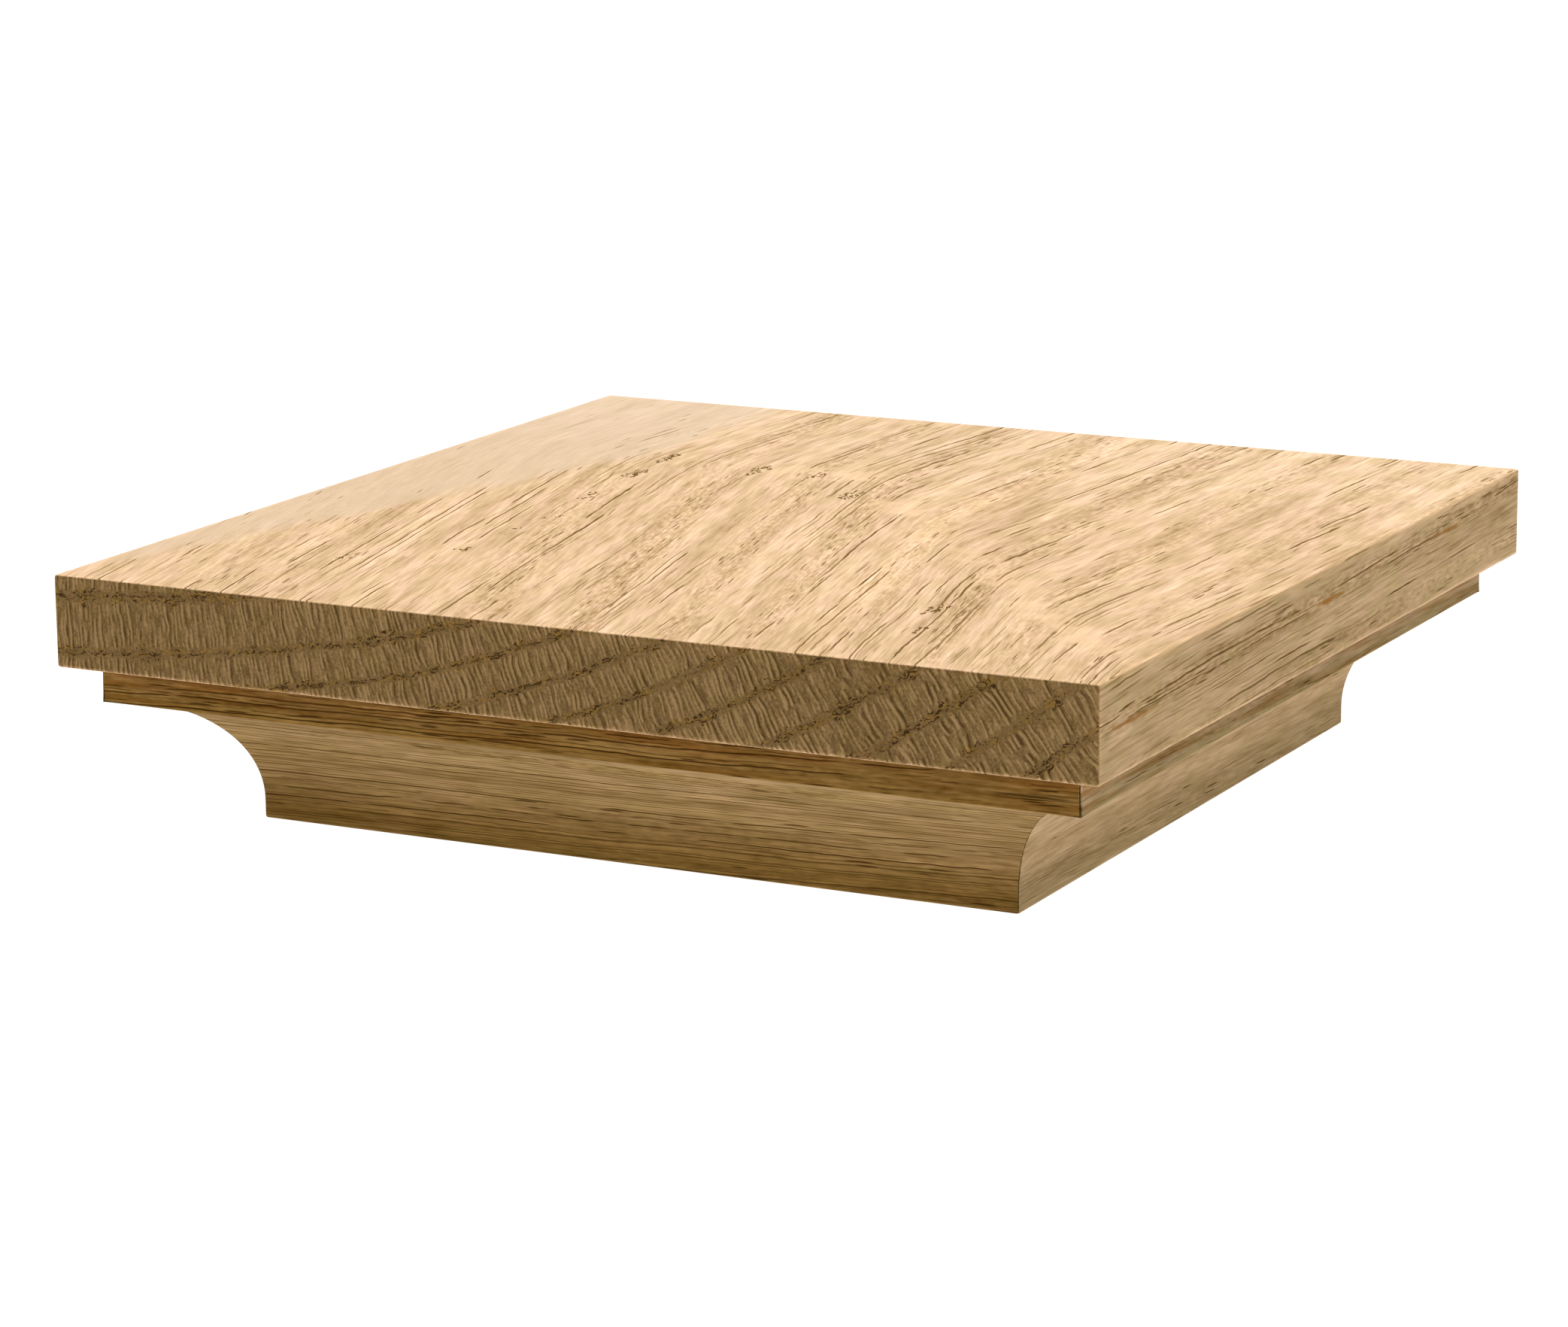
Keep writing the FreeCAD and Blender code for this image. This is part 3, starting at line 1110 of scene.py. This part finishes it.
def placed_mesh(name: str, mesh: BMesh, material: Material) -> Object:
    """Turns a bmesh into an object at the origin.

    Args:
        name: The object's name.
        mesh: The finished shape, which is freed.
        material: Its only material.

    Returns:
        The new object.
    """
    data = bpy.data.meshes.new(name)
    mesh.to_mesh(data)
    mesh.free()
    data.materials.append(material)
    return placed(name, data)


def finish_piece(name: str, mesh: BMesh, material: Material) -> Object:
    """Turns a bmesh into a smooth-shaded piece with its faces outwards.

    Args:
        name: The piece's name.
        mesh: The finished shape, which is freed.
        material: Its only material.

    Returns:
        The new piece.
    """
    bmesh.ops.recalc_face_normals(mesh, faces=mesh.faces)
    piece = placed_mesh(name, mesh, material)
    piece.data.shade_smooth()
    level = piece.modifiers.new("Flat faces stay flat", "WEIGHTED_NORMAL")
    level.weight = 100
    return piece


def ease_edges(
    mesh: BMesh, edges: Sequence[BMEdge], width: float, steps: int
) -> None:
    """Rounds edges off in a few steps."""
    bmesh.ops.bevel(mesh, geom=edges, offset=width, segments=steps, profile=0.5, affect="EDGES", material=-1)
    mesh.normal_update()


@dataclass
class TopBoard:
    """The square board, with every edge eased by sanding. Lengths are in metres."""

    easing: float = 0.6 * MM
    easing_steps: int = 4
    slice_width: float = 6.0 * MM
    uneven: float = 0.05 * MM
    uneven_length: float = 14.0 * MM
    node: str = "top_board"

    def build(self, material: Material) -> Object:
        """Models the board over its solid.

        Args:
            material: The board's oak.

        Returns:
            The finished piece.
        """
        low, high = (Vector(corner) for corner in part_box(self.node))
        mesh = bmesh.new()
        bmesh.ops.create_cube(mesh, size=1.0)
        bmesh.ops.scale(mesh, vec=high - low, verts=mesh.verts)
        bmesh.ops.translate(mesh, vec=(low + high) / 2, verts=mesh.verts)
        ease_edges(mesh, mesh.edges[:], self.easing, self.easing_steps)
        for axis in (Vector((1, 0, 0)), Vector((0, 1, 0))):
            self.slice(mesh, axis, low, high)
        self.wear(mesh, (low + high) / 2)
        piece = finish_piece("oak_top_board", mesh, material)
        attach(piece, BODY)
        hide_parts(self.node)
        return piece

    def slice(self, mesh: BMesh, axis: Vector, low: Vector, high: Vector) -> None:
        """Cuts the faces into even slices, so that they can take a little unevenness.

        Args:
            mesh: The board.
            axis: The direction that the slices are square to.
            low: The board's lowest corner.
            high: The board's highest corner.
        """
        start = low.dot(axis)
        length = (high - low).dot(axis)
        count = round(length / self.slice_width)
        for number in range(1, count):
            bmesh.ops.bisect_plane(
                mesh,
                geom=mesh.verts[:] + mesh.edges[:] + mesh.faces[:],
                plane_co=axis * (start + length * number / count),
                plane_no=axis,
            )

    def wear(self, mesh: BMesh, middle: Vector) -> None:
        """Sands the surface a little unevenly, never past the solid's faces.

        Args:
            mesh: The board.
            middle: The board's middle.
        """
        for vertex in mesh.verts:
            swell = noise.noise(vertex.co / self.uneven_length) * 0.5 + 0.5
            inward = (middle - vertex.co).normalized()
            vertex.co += inward * self.uneven * swell


@dataclass
class CoveStrip:
    """One mitred strip of cove moulding. Lengths are in metres.

    The section is drawn below the front edge and turned to its own side when it is done.
    """

    node: str
    turn: float
    cove_radius: float = 23.01875 * MM
    foot_height: float = 3.96875 * MM
    easing: float = 0.4 * MM
    mitre_easing: float = 0.2 * MM
    tip_easing: float = 0.6 * MM
    easing_steps: int = 3
    mitre_gap: float = 0.05 * MM
    cove_steps: int = 28
    lengths: int = 48
    long_edge: float = 50 * MM
    close: float = 0.001 * MM
    mitre_facing: float = 0.5

    def build(self, material: Material) -> Object:
        """Models the strip over its solid.

        Args:
            material: The strip's oak, with its grain along the strip.

        Returns:
            The finished piece.
        """
        mesh = bmesh.new()
        section = self.section(mesh)
        for vertex in section.verts:
            vertex.co.x = vertex.co.y + self.mitre_gap
        grown = bmesh.ops.extrude_face_region(mesh, geom=[section])
        for vertex in (item for item in grown["geom"] if isinstance(item, bmesh.types.BMVert)):
            vertex.co.x = -vertex.co.y - self.mitre_gap
        self.ease(mesh)
        turn = Matrix.Rotation(self.turn, 3, "Z")
        bmesh.ops.rotate(mesh, cent=(0, 0, 0), matrix=turn, verts=mesh.verts)
        piece = finish_piece(f"oak_{self.node}", mesh, material)
        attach(piece, BODY)
        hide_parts(self.node)
        return piece

    def section(self, mesh: BMesh) -> bmesh.types.BMFace:
        """Draws the section across the front strip: foot, cove, fillet, glue face and socket wall.

        Args:
            mesh: An empty bmesh.

        Returns:
            The section's face.
        """
        low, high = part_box("cove_front")
        outer = low[1]
        inner = high[1]
        top = high[2]
        foot = outer + self.cove_radius
        start = mesh.verts.new((0.0, foot, self.foot_height))
        bmesh.ops.spin(
            mesh,
            geom=[start],
            cent=(0.0, outer, self.foot_height),
            axis=(1.0, 0.0, 0.0),
            angle=math.radians(90),
            steps=self.cove_steps,
        )
        outline = list(mesh.verts)
        for y, z in ((outer, top), (inner, top), (inner, 0.0), (foot, 0.0)):
            outline.append(mesh.verts.new((0.0, y, z)))
        return mesh.faces.new(outline)

    def ease(self, mesh: BMesh) -> None:
        """Eases the long edges, the fillet's tips and the mitres' arrises, and cuts the strip into lengths.

        Args:
            mesh: The front strip, cut to its mitres.
        """
        low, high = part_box("cove_front")
        foot = low[1] + self.cove_radius
        fillet_end = self.foot_height + self.cove_radius
        corners = ((low[1], fillet_end), (foot, 0.0), (high[1], 0.0))
        outer = [edge for edge in self.long_edges(mesh) if self.on_corner(edge, corners)]
        ease_edges(mesh, outer, self.easing, self.easing_steps)
        tips = [edge for edge in self.mitre_edges(mesh) if self.on_fillet(edge, low[1])]
        ease_edges(mesh, tips, self.tip_easing, self.easing_steps)
        ease_edges(mesh, self.mitre_edges(mesh), self.mitre_easing, self.easing_steps)
        along = self.long_edges(mesh)
        bmesh.ops.subdivide_edges(mesh, edges=along, cuts=self.lengths - 1, use_grid_fill=True)

    def long_edges(self, mesh: BMesh) -> list[BMEdge]:
        """The edges that run along the strip from end to end."""
        return [edge for edge in mesh.edges if abs(edge.verts[0].co.x - edge.verts[1].co.x) > self.long_edge]

    def mitre_edges(self, mesh: BMesh) -> list[BMEdge]:
        """The edges round the strip's two mitred ends."""
        ends = [f for f in mesh.faces if min(abs(f.normal.x), abs(f.normal.y)) > self.mitre_facing]
        return list(dict.fromkeys(edge for face in ends for edge in face.edges))

    def on_fillet(self, edge: BMEdge, outer: float) -> bool:
        """Whether an edge lies on the face of the fillet."""
        return all(abs(vertex.co.y - outer) < self.close for vertex in edge.verts)

    def on_corner(self, edge: BMEdge, corners: Sequence[Pair]) -> bool:
        """Whether a long edge lies on one of the section's corners."""
        place = edge.verts[0].co
        return any(math.hypot(place.y - y, place.z - z) < self.close for y, z in corners)


BOARD_OAK = BoardFinish(
    name="Flat-sawn board oak",
    pith=(-113.8, 0.0, 355.7),
    lean=(0.0, 0.0, 0.025),
    wander=3.0,
    seed=3.0,
    pores=0.6,
    dashes=0.65,
    reach=2.0,
    coarseness=0.95,
    latewood=(0.675, 0.468, 0.281),
    earlywood=(0.58, 0.39, 0.215),
    pore=(0.17, 0.095, 0.033),
)

FRONT_STRIP_OAK = StripFinish(
    name="Front moulding oak",
    side=StripSide.FRONT,
    pith=(-150.0, 0.0, 20.0),
    lean=(0.004, 0.0, 0.02),
    wander=3.0,
    seed=41.0,
    pores=0.45,
    dashes=0.9,
    coarseness=0.95,
    calmness=-0.3,
    # Darker and yellower than the other strips: partly the strip's own tone, partly painted shade of the
    # front-facing strip.
    latewood=(0.39, 0.248, 0.101),
    earlywood=(0.292, 0.167, 0.0487),
    pore=(0.085, 0.043, 0.011),
    ring_width=7.7,
    first_ring=235.4,
    # The fillet's painted shade and painted light.
    fillet_painted_shade=(0.79, 0.72, 0.48),
    fillet_top_painted_light=(1.22, 1.26, 1.1),
    # Painted light on the upper part of the cove.
    crown_painted_light=(1.03, 1.08, 1.24),
    foot_tint=(0.71, 0.65, 0.43),
    splits=((-31.0, 6.0, 29.9), (-16.0, 14.0, 28.4), (98.0, 22.0, 30.0)),
)

RIGHT_STRIP_OAK = StripFinish(
    name="Right moulding oak",
    side=StripSide.RIGHT,
    pith=(-60.0, 0.0, 110.0),
    lean=(0.02, 0.0, -0.02),
    seed=87.0,
    dashes=0.45,
    reach=1.2,
    coarseness=0.5,
    latewood=(0.54, 0.38, 0.208),
    earlywood=(0.437, 0.285, 0.14),
    pore=(0.15, 0.082, 0.025),
    # The fillet's painted shade and painted light.
    fillet_painted_shade=(0.73, 0.77, 0.67),
    fillet_top_painted_light=(1.3, 1.42, 1.58),
    foot_tint=(0.83, 0.85, 0.78),
)

BACK_STRIP_OAK = StripFinish(
    name="Back moulding oak",
    side=StripSide.BACK,
    pith=(-90.0, 0.0, 80.0),
    lean=(0.03, 0.0, 0.01),
    seed=133.0,
    latewood=(0.57, 0.37, 0.165),
    earlywood=(0.45, 0.27, 0.105),
    pore=(0.17, 0.09, 0.03),
)

LEFT_STRIP_OAK = StripFinish(
    name="Left moulding oak",
    side=StripSide.LEFT,
    pith=(-70.0, 0.0, 100.0),
    lean=(-0.02, 0.0, 0.02),
    seed=171.0,
    latewood=(0.57, 0.38, 0.18),
    earlywood=(0.46, 0.285, 0.12),
    pore=(0.17, 0.095, 0.032),
)

STRIP_OAKS = (FRONT_STRIP_OAK, RIGHT_STRIP_OAK, BACK_STRIP_OAK, LEFT_STRIP_OAK)


@dataclass
class Studio:
    """The floor, the soft light and the camera. Lengths are in metres and angles in degrees."""

    floor_size: float = 14.0
    floor_cells: int = 8
    floor_colour: Colour = (0.12, 0.12, 0.12)
    floor_roughness: float = 0.9
    floor_glow: float = 1.0
    floor_gap: float = 0.05 * MM
    sky_strength: float = 0.1
    key_strength: float = 4.0
    key_angle: float = 60.0
    key_from: Triple = (-0.04, 0.42, 1.0)
    fill_power: float = 1.9
    fill_size: float = 0.9
    fill_from: Triple = (0.5, -1.5, 0.12)
    camera_azimuth: float = 27.3356
    camera_elevation: float = 13.0039
    camera_roll: float = -0.5308
    camera_distance: float = 1.005848
    camera_target: Triple = (0.016876, -0.049492, 0.034925)
    lens_mm: float = 115.0404
    sensor_mm: float = 36.0

    def build(self) -> None:
        """Sets up the whole stage."""
        self.floor()
        self.light()
        self.camera()
        bpy.context.scene.view_settings.view_transform = "Standard"

    def floor(self) -> None:
        """Lays a plain pale floor, a light table that keeps the shadows soft and is clear from below."""
        mesh = bmesh.new()
        place = Matrix.Translation((0.0, 0.0, -self.floor_gap))
        half = self.floor_size / 2
        cells = self.floor_cells
        bmesh.ops.create_grid(mesh, x_segments=cells, y_segments=cells, size=half, matrix=place)
        material, bench, shader = new_material("Pale floor")
        surface = {
            "Base Color": self.floor_colour,
            "Roughness": self.floor_roughness,
            "Emission Color": WHITE,
            "Emission Strength": self.floor_glow,
        }
        bench.fill(shader, surface)
        from_below = bench.fields(bench.add("ShaderNodeNewGeometry"))["Backfacing"]
        clear = bench.fields(bench.add("ShaderNodeBsdfTransparent"))["BSDF"]
        either = bench.add("ShaderNodeMixShader", (from_below, bench.fields(shader)["BSDF"], clear))
        bench.fill(bench.tree.nodes["Material Output"], {"Surface": bench.fields(either)["Shader"]})
        floor = placed_mesh("floor", mesh, material)

    def light(self) -> None:
        """Lights the part from a wide source above and behind, a weak one in front and an even white sky."""
        key = bpy.data.lights.new("Wide overhead light", "SUN")
        key.energy = self.key_strength
        key.angle = math.radians(self.key_angle)
        self.hang(key, self.key_from)
        fill = bpy.data.lights.new("Front fill light", "AREA")
        fill.shape = "DISK"
        fill.size = self.fill_size
        fill.energy = self.fill_power
        self.hang(fill, self.fill_from)
        world = bpy.data.worlds.new("Even sky")
        world.use_nodes = True
        sky = {"Color": WHITE, "Strength": self.sky_strength}
        NodeBench(world.node_tree).fill(world.node_tree.nodes["Background"], sky)
        bpy.context.scene.world = world

    @staticmethod
    def hang(lamp: bpy.types.Light, place: Triple) -> None:
        """Hangs a lamp so that it shines at the part.

        Args:
            lamp: The lamp.
            place: Where it hangs.
        """
        light = placed(lamp.name, lamp)
        light.location = place
        light.rotation_euler = (-Vector(place)).to_track_quat("-Z", "Y").to_euler()

    def camera(self) -> None:
        """Sets the camera at the photograph's viewing angle."""
        azimuth = math.radians(self.camera_azimuth)
        elevation = math.radians(self.camera_elevation)
        level = math.cos(elevation)
        back = Vector((math.sin(azimuth) * level, -math.cos(azimuth) * level, math.sin(elevation)))
        right = (-back).cross(Vector((0, 0, 1))).normalized()
        up = right.cross(-back)
        turn = Matrix((right, up, back)).transposed()
        turn = turn @ Matrix.Rotation(math.radians(self.camera_roll), 3, "Z")
        lens = bpy.data.cameras.new("Photo camera")
        lens.lens = self.lens_mm
        lens.sensor_width = self.sensor_mm
        camera = placed("Photo camera", lens)
        place = Vector(self.camera_target) + back * self.camera_distance
        camera.matrix_world = Matrix.Translation(place) @ turn.to_4x4()
        bpy.context.scene.camera = camera


def main() -> None:
    """Builds the cap over its solids, then the studio around it."""
    logging.basicConfig(level=logging.INFO, format="%(name)s: %(message)s")
    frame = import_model()
    LOG.info("frame has %d nodes", len(frame["nodes"]))
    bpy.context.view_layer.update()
    groups = OakGroups(GrowthGroup(), OakGroup(StrokeGroup()))
    pieces = [TopBoard().build(BOARD_OAK.material(groups))]
    for oak in STRIP_OAKS:
        pieces.append(CoveStrip(oak.side.node, oak.side.turn).build(oak.material(groups)))
    for piece in pieces:
        LOG.info("%s: %d faces", piece.name, len(piece.data.polygons))
    Studio().build()


if __name__ == "__main__":
    main()
